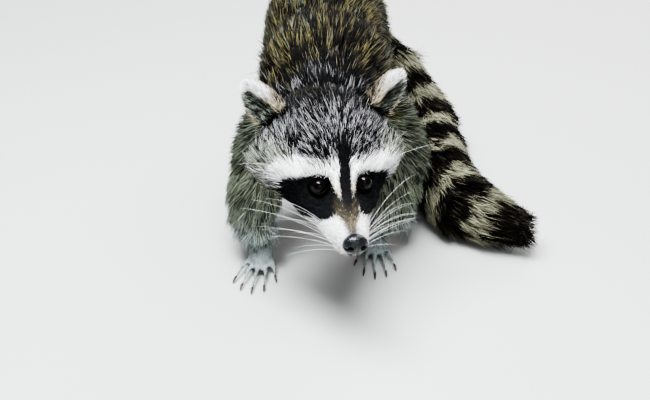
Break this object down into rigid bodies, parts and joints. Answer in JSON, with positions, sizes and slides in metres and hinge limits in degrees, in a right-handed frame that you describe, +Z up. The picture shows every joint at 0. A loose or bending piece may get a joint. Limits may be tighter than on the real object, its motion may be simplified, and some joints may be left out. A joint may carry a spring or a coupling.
{
  "type": "raccoon",
  "caption": "Life-size still model of a raccoon that stands with its head low and its ringed tail laid on the floor.",
  "frame": {"origin": "on the floor, under the middle of the whole animal's bounding box", "axes": "+Z up from the floor, the head towards -Y, the animal's own left side towards +X"},
  "size_m": [0.3436, 0.5398, 0.2721],
  "materials": {
    "head_fur": "grizzled white, grey and black fur with a black mask",
    "body_fur": "coarse yellow-brown and black guard hair over grey underfur",
    "leg_fur": "olive-grey fur, paler down the leg",
    "tail_fur": "bushy buff-grey fur with dark rings and a dark tip",
    "ear_fur": "short cream-white fur on the rim, dark behind",
    "paw_fur": "very short pale grey fur",
    "nose_leather": "black, wet and finely pebbled",
    "eye": "very dark brown, wet and glossy",
    "claw": "dark horn"
  },
  "bodies": {
    "root": {"head": "head_fur", "lower_jaw": "head_fur", "nose": "nose_leather", "eye_left": "eye", "eye_right": "eye", "ear_left": "ear_fur", "ear_right": "ear_fur", "neck": "body_fur", "chest": "body_fur", "hindquarters": "body_fur", "tail_base": "tail_fur", "tail_middle": "tail_fur", "tail_tip": "tail_fur", "foreleg_left_upper": "leg_fur", "foreleg_left_lower": "leg_fur", "forefoot_left": "paw_fur", "hindleg_left_thigh": "leg_fur", "hindleg_left_shank": "leg_fur", "hindfoot_left": "paw_fur", "forefoot_left_claw_1": "claw", "forefoot_left_claw_2": "claw", "forefoot_left_claw_3": "claw", "forefoot_left_claw_4": "claw", "forefoot_left_claw_5": "claw", "hindfoot_left_claw_1": "claw", "hindfoot_left_claw_2": "claw", "hindfoot_left_claw_3": "claw", "hindfoot_left_claw_4": "claw", "hindfoot_left_claw_5": "claw", "foreleg_right_upper": "leg_fur", "foreleg_right_lower": "leg_fur", "forefoot_right": "paw_fur", "hindleg_right_thigh": "leg_fur", "hindleg_right_shank": "leg_fur", "hindfoot_right": "paw_fur", "forefoot_right_claw_1": "claw", "forefoot_right_claw_2": "claw", "forefoot_right_claw_3": "claw", "forefoot_right_claw_4": "claw", "forefoot_right_claw_5": "claw", "hindfoot_right_claw_1": "claw", "hindfoot_right_claw_2": "claw", "hindfoot_right_claw_3": "claw", "hindfoot_right_claw_4": "claw", "hindfoot_right_claw_5": "claw"}
  },
  "joints": []
}
